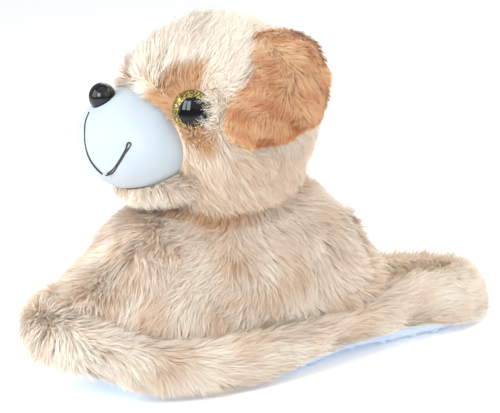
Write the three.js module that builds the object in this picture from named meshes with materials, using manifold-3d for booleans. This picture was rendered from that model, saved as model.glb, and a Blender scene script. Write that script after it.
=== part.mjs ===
// Plush puppy slipper, straight, so that it fits either foot.
// Millimetres, +Z up. The toe points along -Y, the heel along +Y, and the puppy's left side is +X.
// The origin lies on the floor under the middle of the shoe.
import * as THREE from 'three';
import { mergeVertices } from 'three/addons/utils/BufferGeometryUtils.js';
import Module from 'manifold-3d';

const wasm = await Module();
wasm.setup();

// Sole
const SOLE_LENGTH = 240;
const BALL_WIDTH = 110;
const WAIST_WIDTH = 84;
const HEEL_WIDTH = 62;
const SOLE_THICK = 12;
const SOLE_ROUND = 4;
const TOE_SPRING = 19;
const SPRING_LENGTH = 80;
const ARCH_LIFT = 2.4;
const INSOLE_THICK = 3.5;

// Fur roll round the sole's edge, which becomes the heel wall
const ROLL_REACH = 14;
const TOE_REACH = 10;
const ROLL_TOP = 28.5;
const WALL_REACH = 9.5;
const WALL_TOP = 36;
const HEEL_DIP = 2.5;
const BAND_GRIP = 5.5;
const BAND_LOW = 1.6;
const WAIST_LIFT = 6.5;

// Hollow body over the forefoot
const BODY_HEIGHT = 97;
const INSTEP_HEIGHT = 72;
const UPPER_WALL = 10;
const BODY_FULLNESS = 2.4;
const HOLLOW_FULLNESS = 3;

// Head and face
const HEAD_RADIUS = 52.5;
const HEAD_WIDE = 1.04;
const HEAD_SINK = 19.5;
const HEAD_FORWARD = 18.5;
const MUZZLE_RADIUS = 26;
const MUZZLE_WIDE = 1.42;
const MUZZLE_DEEP = 1.2;
const MUZZLE_DROP = 6.5;
const MUZZLE_SUNK = 9;
const NOSE_RADIUS = 7.4;
const NOSE_WIDE = 1.07;
const NOSE_DEEP = 0.93;
const NOSE_RAISE = 58;
const NOSE_PROUD = 1.04;
const EYE_RADIUS = 10;
const EYE_DOME = 5;
const EYE_SUNK = 3;
const EYE_TURN = 55;
const EYE_RAISE = 12;
const EAR_THICK = 8;
const EAR_BEND = 2.6;
const EAR_FULLNESS = 0.8;

// Pile
const PILE = 3;
const LOCK_LENGTH = 20;
const LOCK_WIDTH = 11;
const EAR_PILE = 0.72;
const LOCK_SWAY = 0.6;
const NAP_DROP = 0.6;
const CLEAR_OF_EYE = 30;

// Clearance between pieces that touch
const FIT = 0.3;

const LOOP_POINTS = 44;
const EAR_POINTS = 12;
const HEAD_AROUND = 26;
const HEAD_RINGS = 18;
const FULL_TURN = 360;
const TOE = -SOLE_LENGTH / 2;

// Half of the sole's outline from toe to heel: where along the length, and the half width there
const OUTLINE = [
  { along: 0.0, of: BALL_WIDTH, share: 0.0 },
  { along: 0.018, of: BALL_WIDTH, share: 0.4 },
  { along: 0.07, of: BALL_WIDTH, share: 0.68 },
  { along: 0.16, of: BALL_WIDTH, share: 0.89 },
  { along: 0.3, of: BALL_WIDTH, share: 1.0 },
  { along: 0.45, of: BALL_WIDTH, share: 0.94 },
  { along: 0.62, of: WAIST_WIDTH, share: 0.97 },
  { along: 0.78, of: HEEL_WIDTH, share: 1.04 },
  { along: 0.88, of: HEEL_WIDTH, share: 0.98 },
  { along: 0.96, of: HEEL_WIDTH, share: 0.7 },
  { along: 0.992, of: HEEL_WIDTH, share: 0.34 },
  { along: 1.0, of: HEEL_WIDTH, share: 0.0 },
];

// Edge of the sole from floor to top: how far in from the outline, and how high
const SOLE_EDGE = [
  { inset: SOLE_ROUND, up: 0 },
  { inset: 1.3, up: 0.12 },
  { inset: 0, up: 0.4 },
  { inset: 0, up: 0.75 },
  { inset: 1.4, up: 1 },
];

// Edge of the insole from its underside to its top
const INSOLE_EDGE = [
  { inset: 0.6, up: 0 },
  { inset: 0, up: 0.6 },
  { inset: 1.2, up: 1 },
];

// Section of the band as a fur roll: out is a share of its reach, or of its grip where it is negative,
// and up is a share of its height
const ROLL = [
  { out: 0.45, up: 0.0 },
  { out: 0.87, up: 0.13 },
  { out: 1.0, up: 0.4 },
  { out: 0.88, up: 0.7 },
  { out: 0.5, up: 0.94 },
  { out: 0.1, up: 1.0 },
  { out: -0.7, up: 0.92 },
  { out: -1.0, up: 0.72 },
  { out: -1.0, up: 0.45 },
];

// The same section where it stands up as the heel wall
const WALL = [
  { out: 0.45, up: 0.0 },
  { out: 0.9, up: 0.12 },
  { out: 1.0, up: 0.36 },
  { out: 0.82, up: 0.66 },
  { out: 0.4, up: 0.92 },
  { out: -0.3, up: 1.0 },
  { out: -1.25, up: 0.91 },
  { out: -1.5, up: 0.7 },
  { out: -1.1, up: 0.42 },
];

// Body from toe to throat: where along the sole, how far it swells past the sole's outline as a share
// of the roll's reach, and its crest as a share of the body's height
const BODY = [
  { along: 0.035, swell: -0.2, height: 0.55 },
  { along: 0.05, swell: -0.1, height: 0.6 },
  { along: 0.09, swell: -0.05, height: 0.65 },
  { along: 0.125, swell: -0.05, height: 0.7 },
  { along: 0.155, swell: 0, height: 0.785 },
  { along: 0.185, swell: 0, height: 0.87 },
  { along: 0.215, swell: 0, height: 0.915 },
  { along: 0.26, swell: 0, height: 0.94 },
  { along: 0.35, swell: 0, height: 0.965 },
  { along: 0.47, swell: 0.1, height: 1.0 },
  { along: 0.55, swell: 0.3, height: 0.985 },
  { along: 0.6, swell: 0.4, height: 0.945 },
  { along: 0.64, swell: 0.42, height: 0.885 },
  { along: 0.675, swell: 0.4, height: 0.805 },
  { along: 0.7, swell: 0.3, height: 0.735 },
  { along: 0.718, swell: 0.1, height: 0.69 },
];

// Hollow for the foot, with its side as a share of the wall and its roof as a share of the instep
const HOLLOW = [
  { along: 0.055, swell: -1, height: 0.6 },
  { along: 0.08, swell: -1, height: 0.68 },
  { along: 0.14, swell: -1, height: 0.76 },
  { along: 0.24, swell: -1, height: 0.88 },
  { along: 0.37, swell: -1, height: 0.965 },
  { along: 0.5, swell: -0.95, height: 1.0 },
  { along: 0.6, swell: -0.75, height: 0.975 },
  { along: 0.69, swell: -0.5, height: 0.92 },
  { along: 0.78, swell: -0.4, height: 0.92 },
];

// Ear from its fold down to its tip, in head radii from the middle of the head: its middle, and half its
// width from front to back
const EAR = [
  { out: 0.6, back: 0.42, up: 0.8, half: 0.17 },
  { out: 0.72, back: 0.51, up: 0.7, half: 0.28 },
  { out: 0.86, back: 0.48, up: 0.56, half: 0.33 },
  { out: 0.97, back: 0.385, up: 0.4, half: 0.41 },
  { out: 1.06, back: 0.29, up: 0.22, half: 0.49 },
  { out: 1.12, back: 0.2, up: 0.06, half: 0.47 },
  { out: 1.16, back: 0.1, up: -0.06, half: 0.34 },
  { out: 1.18, back: 0.01, up: -0.14, half: 0.16 },
];

// Rows of locks round the head: how high, how many, and where the row starts
const HEAD_ROWS = [
  { raise: 72, count: 6, start: 12 },
  { raise: 48, count: 12, start: 15 },
  { raise: 26, count: 14, start: 0 },
  { raise: 4, count: 16, start: 11 },
  { raise: -18, count: 14, start: 0 },
  { raise: -38, count: 12, start: 15 },
];

const HEAD_CENTRE = new THREE.Vector3(0, -HEAD_FORWARD, BODY_HEIGHT - HEAD_SINK + HEAD_RADIUS);
const MUZZLE_CENTRE = new THREE.Vector3(
  0, HEAD_CENTRE.y - HEAD_RADIUS + MUZZLE_SUNK, HEAD_CENTRE.z - MUZZLE_DROP);

// How far the sole has left the floor under the toes
function rise(y) {
  const past = Math.max(0, TOE + SPRING_LENGTH - y);
  return TOE_SPRING * (past / SPRING_LENGTH) ** 2;
}

// Hollow under the arch, none at the ball or the heel
function archLift(y) {
  const share = (y - TOE) / SOLE_LENGTH;
  const ramp = THREE.MathUtils.smoothstep(share, 0.5, 0.6) - THREE.MathUtils.smoothstep(share, 0.64, 0.74);
  return ARCH_LIFT * ramp;
}

// Sole outline as evenly spaced points, each with the direction that points out of the sole
function soleLoop() {
  const right = OUTLINE.map((row) => new THREE.Vector3(
    row.of * row.share / 2, TOE + row.along * SOLE_LENGTH, 0));
  const left = right.slice(1, -1).reverse().map((p) => new THREE.Vector3(-p.x, p.y, 0));
  const curve = new THREE.CatmullRomCurve3([...right, ...left], true, 'centripetal');
  curve.arcLengthDivisions = 800;
  const loop = [];
  for (let i = 0; i < LOOP_POINTS; i += 1) {
    const at = curve.getPointAt(i / LOOP_POINTS);
    const along = curve.getTangentAt(i / LOOP_POINTS);
    loop.push({ at, out: new THREE.Vector3(along.y, -along.x, 0) });
  }
  return loop;
}
const LOOP = soleLoop();

// Half width, at a place along the length, of the outline swollen outwards by some distance
function halfWidth(y, swell) {
  const half = LOOP.slice(0, LOOP_POINTS / 2 + 1).map(({ at, out }) => at.clone().addScaledVector(out, swell));
  const next = half.findIndex((p) => p.y >= y);
  if (next <= 0) return 0;
  const [a, b] = [half[next - 1], half[next]];
  return THREE.MathUtils.lerp(a.x, b.x, (y - a.y) / (b.y - a.y));
}

// Closed geometry from points and faces, turned so that its faces point out
function closed(points, faces) {
  let volume = 0;
  const cross = new THREE.Vector3();
  for (const [a, b, c] of faces) {
    volume += points[a].dot(cross.crossVectors(points[b], points[c]));
  }
  const outward = volume > 0 ? faces : faces.map(([a, b, c]) => [a, c, b]);
  const geometry = new THREE.BufferGeometry().setFromPoints(points);
  geometry.setIndex(outward.flat());
  return geometry;
}

// Faces that close the end of a loft, as rungs between the two sides of a ring that is mirrored in X
function rungs(count, first, flip) {
  const faces = [];
  for (let i = 1; i < count - 1 - i; i += 1) {
    const [a, b, c, d] = [first + i, first + i + 1, first + count - i - 1, first + count - i];
    if (b < c) faces.push([a, b, c]);
    faces.push([a, c, d]);
  }
  faces.push([first, first + 1, first + count - 1]);
  return flip ? faces.map(([a, b, c]) => [a, c, b]) : faces;
}

// Skin through rings of equal count, open round each ring's end unless the rings close on themselves
function skin(rings, around) {
  const count = rings[0].length;
  const faces = [];
  const spans = around ? rings.length : rings.length - 1;
  for (let r = 0; r < spans; r += 1) {
    const next = (r + 1) % rings.length;
    for (let i = 0; i < count; i += 1) {
      const j = (i + 1) % count;
      faces.push([r * count + i, r * count + j, next * count + j]);
      faces.push([r * count + i, next * count + j, next * count + i]);
    }
  }
  return faces;
}

// Loft through mirrored rings, closed by rungs at both ends
function loft(rings) {
  const count = rings[0].length;
  const last = (rings.length - 1) * count;
  const faces = [...skin(rings, false), ...rungs(count, 0, true), ...rungs(count, last, false)];
  return closed(rings.flat(), faces);
}

// Loft through rings that close in a point at both ends
function spindle(start, rings, end) {
  const count = rings[0].length;
  const points = [...rings.flat(), start, end];
  const [first, last, top] = [points.length - 2, points.length - 1, (rings.length - 1) * count];
  const faces = skin(rings, false);
  for (let i = 0; i < count; i += 1) {
    const j = (i + 1) % count;
    faces.push([first, j, i], [last, top + i, top + j]);
  }
  return closed(points, faces);
}

function toSolid(geometry) {
  const bare = geometry.clone();
  bare.deleteAttribute('normal');
  bare.deleteAttribute('uv');
  const merged = mergeVertices(bare, 1e-4);
  return new wasm.Manifold(new wasm.Mesh({
    numProp: 3,
    vertProperties: new Float32Array(merged.attributes.position.array),
    triVerts: new Uint32Array(merged.index.array),
  }));
}

function toGeometry(solid) {
  const mesh = solid.getMesh();
  const geometry = new THREE.BufferGeometry();
  geometry.setAttribute('position', new THREE.BufferAttribute(mesh.vertProperties, 3));
  geometry.setIndex(new THREE.BufferAttribute(mesh.triVerts, 1));
  geometry.computeVertexNormals();
  return geometry;
}

// Same spread of locks every time
function seeded(seed) {
  let state = seed;
  return () => {
    state = (state * 1664525 + 1013904223) % 4294967296;
    return state / 4294967296;
  };
}

// One lock of pile: a ridged leaf that leaves the surface, lies over along its lean and ends in a point
function lock(root, out, lean, size) {
  const across = new THREE.Vector3().crossVectors(out, lean).normalize();
  const place = (along, side, up) => root.clone().addScaledVector(lean, along * LOCK_LENGTH * size)
    .addScaledVector(across, side * LOCK_WIDTH * size).addScaledVector(out, up * PILE * size);
  const leaf = (along, half, edge, ridge) => [
    place(along, half, edge), place(along, 0, ridge), place(along, -half, edge),
  ];
  const rings = [leaf(-0.1, 0.3, -1, -0.2), leaf(0.4, 0.5, -0.35, 1)];
  return toSolid(spindle(place(-0.25, 0, -1), rings, place(1, 0, 0.35)));
}

// Fuses locks of about one size onto a solid, each leaning along the nap where it grows
function furred(solid, roots, size, random) {
  const locks = roots.map(({ at, out, nap }) => {
    const lean = nap.clone().addScaledVector(out, -nap.dot(out)).normalize();
    const sway = (random() - 0.5) * LOCK_SWAY;
    return lock(at, out, lean.applyAxisAngle(out, sway), size * (0.85 + 0.3 * random()));
  });
  return wasm.Manifold.union([solid, ...locks]);
}

// Outsole: flat under ball and heel, hollow under the arch, raised under the toes
function outsole() {
  const rings = SOLE_EDGE.map((row) => LOOP.map(({ at, out }) => {
    const point = at.clone().addScaledVector(out, -row.inset);
    point.z = row.up * SOLE_THICK + rise(point.y) + (1 - row.up) * archLift(point.y);
    return point;
  }));
  return loft(rings);
}

// Insole: fills the footbed, narrower inside the upper than between the heel walls.
// Swollen by a gap it is what the upper is cut with
function insole(gap) {
  const rings = INSOLE_EDGE.map((row) => LOOP.map(({ at, out }) => {
    const share = (at.y - TOE) / SOLE_LENGTH;
    const inUpper = 1 - THREE.MathUtils.smoothstep(share, 0.5, 0.72);
    const margin = THREE.MathUtils.lerp(BAND_GRIP * 1.2, UPPER_WALL, inUpper) + FIT + row.inset;
    const point = at.clone().addScaledVector(out, gap - margin);
    const up = SOLE_THICK + FIT + row.up * INSOLE_THICK + (row.up > 0 ? gap : -gap);
    point.z = up + rise(point.y);
    return point;
  }));
  return loft(rings);
}

// Section of the band at one point of the loop, as points out from the outline and up from the floor
function bandSection(y) {
  const share = (y - TOE) / SOLE_LENGTH;
  const wall = THREE.MathUtils.smoothstep(share, 0.55, 0.8);
  const roll = THREE.MathUtils.lerp(TOE_REACH, ROLL_REACH, THREE.MathUtils.smoothstep(share, 0, 0.2));
  const reach = THREE.MathUtils.lerp(roll, WALL_REACH, wall);
  const dip = HEEL_DIP * THREE.MathUtils.smoothstep(share, 0.8, 1);
  const top = THREE.MathUtils.lerp(ROLL_TOP, WALL_TOP, wall) - dip;
  const waist = THREE.MathUtils.smoothstep(share, 0.38, 0.56) - THREE.MathUtils.smoothstep(share, 0.76, 0.9);
  const low = BAND_LOW + WAIST_LIFT * waist;
  const seat = SOLE_THICK + FIT;
  const side = ROLL.map((row, i) => {
    const out = THREE.MathUtils.lerp(row.out, WALL[i].out, wall);
    const up = THREE.MathUtils.lerp(row.up, WALL[i].up, wall);
    return new THREE.Vector2(out * (out > 0 ? reach : BAND_GRIP), low + up * (top - low));
  });
  return [
    new THREE.Vector2(FIT, low + (seat - low) * 0.15),
    ...side,
    new THREE.Vector2(-BAND_GRIP, seat),
    new THREE.Vector2(FIT, seat),
  ];
}

// The section swollen on every side by a gap
function swollen(section, gap) {
  return section.map((point, i) => {
    const before = section[(i + section.length - 1) % section.length];
    const after = section[(i + 1) % section.length];
    const along = after.clone().sub(before).normalize();
    return point.clone().add(new THREE.Vector2(along.y, -along.x).multiplyScalar(gap));
  });
}

function bandRing(gap) {
  const rings = LOOP.map(({ at, out }) => swollen(bandSection(at.y), gap).map((p) => {
    const point = at.clone().addScaledVector(out, p.x);
    point.z = p.y + rise(at.y);
    return point;
  }));
  return closed(rings.flat(), skin(rings, true));
}

// Locks of the band grow on its outer side in two staggered rows, and lie along it towards the heel
function sideBand() {
  const random = seeded(11);
  const roots = [];
  for (const row of [{ of: 3, start: 0 }, { of: 4, start: 1 }]) {
    for (let i = row.start; i < LOOP_POINTS; i += 2) {
      const { at, out } = LOOP[i];
      const section = bandSection(at.y);
      const slope = section[row.of + 1].clone().sub(section[row.of - 1]).normalize();
      const place = at.clone().addScaledVector(out, section[row.of].x);
      place.z = section[row.of].y + rise(at.y);
      const face = out.clone().multiplyScalar(slope.y);
      face.z = -slope.x;
      const along = at.x < 0 ? -1 : 1;
      roots.push({ at: place, out: face, nap: new THREE.Vector3(-along * out.y, along * out.x, -0.35) });
    }
  }
  return furred(toSolid(bandRing(0)), roots, 1, random);
}

// Arch from one side of the floor over to the other, in a plane across the foot
function arch(y, half, crest, floor, fullness, steps) {
  const ring = [];
  for (let i = 0; i <= steps; i += 1) {
    const turn = Math.PI * (i / steps);
    const side = Math.sign(Math.cos(turn)) * Math.abs(Math.cos(turn)) ** (2 / fullness);
    const lift = Math.abs(Math.sin(turn)) ** (2 / fullness);
    ring.push(new THREE.Vector3(half * side, y, floor + (crest - floor) * lift));
  }
  return ring;
}

// Smooth run of arches through a table's rows, for the body and for the hollow in it
function archRun(rows, { reach, height, lower, fullness, stations, steps }) {
  const curve = new THREE.CatmullRomCurve3(rows.map((row) => {
    const y = TOE + row.along * SOLE_LENGTH;
    return new THREE.Vector3(halfWidth(y, row.swell * reach), y, row.height * height);
  }), false, 'centripetal');
  const rings = [];
  for (let i = 0; i < stations; i += 1) {
    const at = curve.getPointAt(i / (stations - 1));
    const floor = SOLE_THICK + FIT + rise(at.y) - lower;
    rings.push(arch(at.y, at.x, at.z, floor, fullness, steps));
  }
  return rings;
}

function archLoft(rings) {
  const points = rings.map((ring) => [...ring]);
  return loft(points.map((ring) => {
    const crown = ring.splice((ring.length - 1) / 2);
    return [...crown, ...ring];
  }));
}

// Head as an ellipsoid, and the same swollen by a gap for what is cut to fit it
function headBall(gap) {
  const ball = new THREE.SphereGeometry(1, HEAD_AROUND, HEAD_RINGS);
  ball.rotateX(Math.PI / 2);
  const radius = HEAD_RADIUS + gap;
  ball.scale(radius * HEAD_WIDE, radius, radius);
  ball.translate(HEAD_CENTRE.x, HEAD_CENTRE.y, HEAD_CENTRE.z);
  return toSolid(ball);
}

// Point on the head and the direction out of it: turn from straight ahead to the left, raise upwards
function onHead(turn, raise) {
  const [t, r] = [THREE.MathUtils.degToRad(turn), THREE.MathUtils.degToRad(raise)];
  const way = new THREE.Vector3(Math.sin(t) * Math.cos(r), -Math.cos(t) * Math.cos(r), Math.sin(r));
  const at = new THREE.Vector3(way.x * HEAD_WIDE, way.y, way.z).multiplyScalar(HEAD_RADIUS).add(HEAD_CENTRE);
  const out = new THREE.Vector3(way.x / HEAD_WIDE, way.y, way.z).normalize();
  return { at, out };
}

// Upper: the hollow body, cut to sit inside the band and under the head
function upper() {
  const rings = archRun(BODY, {
    reach: ROLL_REACH, height: BODY_HEIGHT, lower: 0, fullness: BODY_FULLNESS, stations: 18, steps: 16,
  });
  const hollow = archRun(HOLLOW, {
    reach: UPPER_WALL, height: INSTEP_HEIGHT, lower: 3, fullness: HOLLOW_FULLNESS, stations: 12, steps: 12,
  });
  const random = seeded(5);
  const roots = [];
  for (let r = 1; r < rings.length - 2; r += 2) {
    const skip = ((r - 1) / 2) % 2;
    for (let i = 2 + skip; i < rings[r].length - 2; i += 2) {
      const at = rings[r][i];
      const around = rings[r][i + 1].clone().sub(rings[r][i - 1]);
      const along = rings[r + 1][i].clone().sub(rings[r - 1][i]);
      const out = new THREE.Vector3().crossVectors(along, around).normalize();
      const nap = new THREE.Vector3(at.x, at.y + HEAD_FORWARD, -HEAD_RADIUS);
      const clearOfHead = at.distanceTo(HEAD_CENTRE) > HEAD_RADIUS + PILE * 3;
      const clearOfBand = at.z > ROLL_TOP + rise(at.y) + LOCK_LENGTH / 2;
      if (clearOfHead && clearOfBand) roots.push({ at, out, nap });
    }
  }
  return furred(toSolid(archLoft(rings)), roots, 1, random)
    .subtract(toSolid(archLoft(hollow)))
    .subtract(toSolid(insole(FIT)))
    .subtract(toSolid(bandRing(FIT)))
    .subtract(headBall(FIT));
}

// Eye: a domed button whose back is sunk in the head
function eyeButton(gap) {
  const profile = [new THREE.Vector2(0, -EYE_SUNK - gap), new THREE.Vector2(EYE_RADIUS + gap, -EYE_SUNK - gap)];
  const steps = 4;
  for (let i = 0; i <= steps; i += 1) {
    const turn = (Math.PI / 2) * (i / steps);
    const out = (EYE_RADIUS + gap) * Math.cos(turn);
    profile.push(new THREE.Vector2(i === steps ? 0 : out, (EYE_DOME + gap) * Math.sin(turn)));
  }
  const button = new THREE.LatheGeometry(profile, 18);
  const { at, out } = onHead(EYE_TURN, EYE_RAISE);
  const turnTo = new THREE.Quaternion().setFromUnitVectors(new THREE.Vector3(0, 1, 0), out);
  button.applyQuaternion(turnTo);
  button.translate(at.x, at.y, at.z);
  return toSolid(button);
}

const mirrored = (solid) => solid.mirror([1, 0, 0]);

// Locks of the head point away from the muzzle, down the cheeks and down the back
function head() {
  const random = seeded(23);
  const roots = [];
  for (const { raise, count, start } of HEAD_ROWS) {
    for (let i = 0; i < count; i += 1) {
      const turn = start + FULL_TURN * (i / count);
      const front = Math.abs(((turn + FULL_TURN / 2) % FULL_TURN) - FULL_TURN / 2);
      const underEar = raise < 70 && raise > -25 && front > 66 && front < 140;
      const spot = onHead(turn, raise);
      const away = spot.at.clone().sub(MUZZLE_CENTRE);
      const clearOfEye = Math.hypot(front - EYE_TURN, raise - EYE_RAISE) > CLEAR_OF_EYE;
      const clearOfMuzzle = away.length() > MUZZLE_RADIUS * MUZZLE_WIDE + LOCK_WIDTH;
      const nap = away.add(new THREE.Vector3(0, 0, -HEAD_RADIUS * NAP_DROP));
      if (clearOfMuzzle && clearOfEye && !underEar) roots.push({ ...spot, nap });
    }
  }
  const eye = eyeButton(FIT);
  const flap = earFlap(earRings(FIT * 2)).subtract(headBall(FIT));
  return furred(headBall(0), roots, 1, random)
    .subtract(eye).subtract(mirrored(eye)).subtract(flap).subtract(mirrored(flap));
}

// Nose: a domed button, sunk into the muzzle high on its front
function noseDome(gap) {
  const dome = new THREE.SphereGeometry(1, 12, 9);
  const radius = NOSE_RADIUS + gap;
  dome.scale(radius * NOSE_WIDE, radius * NOSE_DEEP, radius);
  const raise = THREE.MathUtils.degToRad(NOSE_RAISE);
  dome.rotateX(-raise / 2);
  const reach = MUZZLE_RADIUS * NOSE_PROUD;
  const ahead = reach * MUZZLE_DEEP * Math.cos(raise);
  dome.translate(0, MUZZLE_CENTRE.y - ahead, MUZZLE_CENTRE.z + reach * Math.sin(raise));
  return toSolid(dome);
}

function muzzle() {
  const egg = new THREE.SphereGeometry(1, 20, 14);
  egg.rotateX(Math.PI / 2);
  egg.scale(MUZZLE_RADIUS * MUZZLE_WIDE, MUZZLE_RADIUS * MUZZLE_DEEP, MUZZLE_RADIUS);
  egg.translate(MUZZLE_CENTRE.x, MUZZLE_CENTRE.y, MUZZLE_CENTRE.z);
  return toSolid(egg).subtract(headBall(FIT)).subtract(noseDome(FIT));
}

// Rings round the ear, level from front to back, each with the direction it faces and the way down the ear
function earRings(gap) {
  const spine = EAR.map((row) => new THREE.Vector3(row.out, row.back, row.up)
    .multiplyScalar(HEAD_RADIUS).add(HEAD_CENTRE));
  return EAR.map((row, i) => {
    const middle = spine[i];
    const down = spine[Math.min(i + 1, EAR.length - 1)].clone().sub(spine[Math.max(i - 1, 0)]).normalize();
    const across = new THREE.Vector3(0, -1, 0);
    const face = new THREE.Vector3().crossVectors(across, down).normalize();
    const half = row.half * HEAD_RADIUS + gap;
    const ring = [];
    for (let k = 0; k < EAR_POINTS; k += 1) {
      const turn = 2 * Math.PI * (k / EAR_POINTS);
      const side = Math.cos(turn) * half;
      const full = Math.sign(Math.sin(turn)) * Math.abs(Math.sin(turn)) ** EAR_FULLNESS;
      const thick = full * (EAR_THICK / 2 + gap);
      const bend = side * side / (EAR_BEND * HEAD_RADIUS);
      ring.push(middle.clone().addScaledVector(across, side).addScaledVector(face, thick - bend));
    }
    return { ring, middle, face, down };
  });
}

// Ear without pile: a padded flap that hangs over the side of the head
function earFlap(rows) {
  const spine = rows.map(({ middle }) => middle);
  const start = spine[0].clone().lerp(spine[1], -0.3);
  const tip = spine.at(-1).clone().lerp(spine.at(-2), -0.5);
  return toSolid(spindle(start, rows.map(({ ring }) => ring), tip));
}

// Ear with locks that hang down its outer face
function ear() {
  const random = seeded(31);
  const rows = earRings(0);
  const roots = [];
  rows.slice(1, -1).forEach(({ ring, middle, face, down }, r) => {
    for (let k = 1 + (r % 2); k < EAR_POINTS / 2; k += 2) {
      const away = ring[k].clone().sub(middle).multiplyScalar(1 / HEAD_RADIUS);
      roots.push({ at: ring[k], out: face.clone().add(away).normalize(), nap: down });
    }
  });
  return furred(earFlap(rows), roots, EAR_PILE, random).subtract(headBall(FIT));
}

function piece(name, solid, colour, roughness) {
  const material = new THREE.MeshStandardMaterial({ color: colour, roughness, metalness: 0 });
  const mesh = new THREE.Mesh(toGeometry(solid), material);
  mesh.name = name;
  return mesh;
}

const CREAM_FUR = '#e6cdb0';
const TAN_FUR = '#c98f5e';
const slipper = new THREE.Group();
slipper.add(
  piece('outsole', toSolid(outsole()), '#e9edf2', 0.8),
  piece('insole', toSolid(insole(0)), '#d8b48c', 0.95),
  piece('upper', upper(), CREAM_FUR, 0.95),
  piece('side_band', sideBand(), CREAM_FUR, 0.95),
  piece('head', head(), CREAM_FUR, 0.95),
  piece('muzzle', muzzle(), '#f7f5f2', 0.9),
  piece('nose', noseDome(0), '#0b0b0d', 0.1),
  piece('eye_left', eyeButton(0), '#3a2c12', 0.1),
  piece('eye_right', mirrored(eyeButton(0)), '#3a2c12', 0.1),
  piece('ear_left', ear(), TAN_FUR, 0.95),
  piece('ear_right', mirrored(ear()), TAN_FUR, 0.95),
);

export default slipper;
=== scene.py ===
"""A plush puppy slipper: pile on every furry piece, velour muzzle, thread mouth, nose, eyes and sole."""

import math

import bpy
import numpy as np
from mathutils import Matrix, Vector
from mathutils.bvhtree import BVHTree
from mathutils.kdtree import KDTree


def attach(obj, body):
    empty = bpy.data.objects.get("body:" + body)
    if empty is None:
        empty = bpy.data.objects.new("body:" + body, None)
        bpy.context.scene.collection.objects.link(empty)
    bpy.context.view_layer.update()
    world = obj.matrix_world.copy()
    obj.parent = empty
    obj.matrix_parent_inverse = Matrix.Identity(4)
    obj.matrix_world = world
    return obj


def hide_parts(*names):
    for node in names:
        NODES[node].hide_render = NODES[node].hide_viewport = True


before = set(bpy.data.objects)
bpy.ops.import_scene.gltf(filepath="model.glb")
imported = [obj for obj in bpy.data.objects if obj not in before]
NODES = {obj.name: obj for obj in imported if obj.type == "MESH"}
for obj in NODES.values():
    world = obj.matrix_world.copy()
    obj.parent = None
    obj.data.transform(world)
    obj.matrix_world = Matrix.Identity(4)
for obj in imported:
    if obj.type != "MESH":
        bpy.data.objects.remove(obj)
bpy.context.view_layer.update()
MM = 0.001

# All lengths are in mm unless a comment says metres. Sizes as in the part
SOLE_LENGTH = 240.0
HEAD = np.array((0.0, -18.5, 130.0))
HEAD_RADII = np.array((54.6, 52.5, 52.5))
MUZZLE = np.array((0.0, -62.0, 123.5))
MUZZLE_RADII = np.array((36.9, 31.2, 26.0))
NOSE = np.array((0.0, -79.2, 146.4))
NOSE_RADII = np.array((7.9, 6.9, 7.4))
EYE_TURN, EYE_RAISE = 55.0, 12.0
EYE_RADIUS, EYE_DOME, EYE_SUNK = 10.0, 5.0, 3.0
EAR_BEND = 2.6

# How deep the backing lies under the solids
PILE_DEPTH = 5.5

# How long the pile is on each piece
HEAD_PILE, CHIN_PILE, UPPER_PILE, BAND_PILE, EAR_PILE = 11.5, 9.0, 12.0, 12.0, 8.2
LINING_PILE, HEEL_PILE = 3.4, 5.0

# Strands on each piece
LONG_STRANDS, FLUFF_STRANDS = 38000, 80000
CHIN_STRANDS, CHIN_FLUFF = 10000, 20000
EAR_STRANDS = 22500
UPPER_LINING, HEEL_LINING, FOOTBED = 7500, 11000, 8000

# The camera: degrees, mm, and the photo's frame in pixels
VIEW_TURN, VIEW_RAISE, VIEW_ROLL = 68.9, 12.0, -4.7
VIEW_DISTANCE, VIEW_TARGET = 970.0, (60.0, -28.0, 92.2)
FRAME_WIDTH, FOCAL_PIXELS, SENSOR = 500.0, 1984.0, 36.0


# Small helpers

def srgb(red, green, blue):
    """Linear colour from the 0 to 255 values that a screen shows."""
    def linear(value):
        value /= 255
        return value / 12.92 if value <= 0.04045 else ((value + 0.055) / 1.055) ** 2.4
    return (linear(red), linear(green), linear(blue), 1.0)


def unit(rows):
    """Each row as a direction."""
    return rows / np.maximum(np.linalg.norm(rows, axis=-1, keepdims=True), 1e-9)


def smooth(low, high, value):
    """0 below low, 1 above high, and a soft step between."""
    share = np.clip((value - low) / (high - low), 0, 1)
    return share * share * (3 - 2 * share)


def ripple(points, size, seed):
    """A soft field from about -1 to 1 that changes over about size mm."""
    random = np.random.default_rng(seed)
    waves = unit(random.normal(size=(7, 3))) * random.uniform(0.7, 1.4, (7, 1))
    turns = points @ (waves * (math.tau / (2 * size))).T + random.uniform(0, math.tau, 7)
    return np.clip(np.sin(turns).sum(axis=1) / 2.6, -1.2, 1.2)


def flat_part(ways, normals):
    """What lies along the surface of each way, as a direction."""
    return unit(ways - normals * (ways * normals).sum(axis=1, keepdims=True))


def depth_in(at, corners):
    """How far inside an outline each flat point lies, below 0 outside it."""
    near = np.full(len(at), 1e9)
    inside = np.zeros(len(at), dtype=bool)
    for a, b in zip(corners, np.roll(corners, -1, axis=0)):
        share = np.clip(((at - a) @ (b - a)) / ((b - a) @ (b - a)), 0, 1)[:, None]
        near = np.minimum(near, np.linalg.norm(at - a - share * (b - a), axis=1))
        crosses = (a[1] > at[:, 1]) != (b[1] > at[:, 1])
        slope = (b[0] - a[0]) / (b[1] - a[1] + 1e-9)
        inside ^= crosses & (at[:, 0] < a[0] + slope * (at[:, 1] - a[1]))
    return np.where(inside, near, -near)


def toward(turn, raised):
    """Direction: turn from straight ahead to the puppy's left, raised upwards, in degrees."""
    turn, raised = math.radians(turn), math.radians(raised)
    return np.array((math.sin(turn) * math.cos(raised), -math.cos(turn) * math.cos(raised), math.sin(raised)))


def angle_from(points, way):
    """Angle in degrees at the middle of the head between each point and a way."""
    ways = unit((points - HEAD) / HEAD_RADII)
    return np.degrees(np.arccos(np.clip(ways @ way, -1, 1)))


# Meshes

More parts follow.
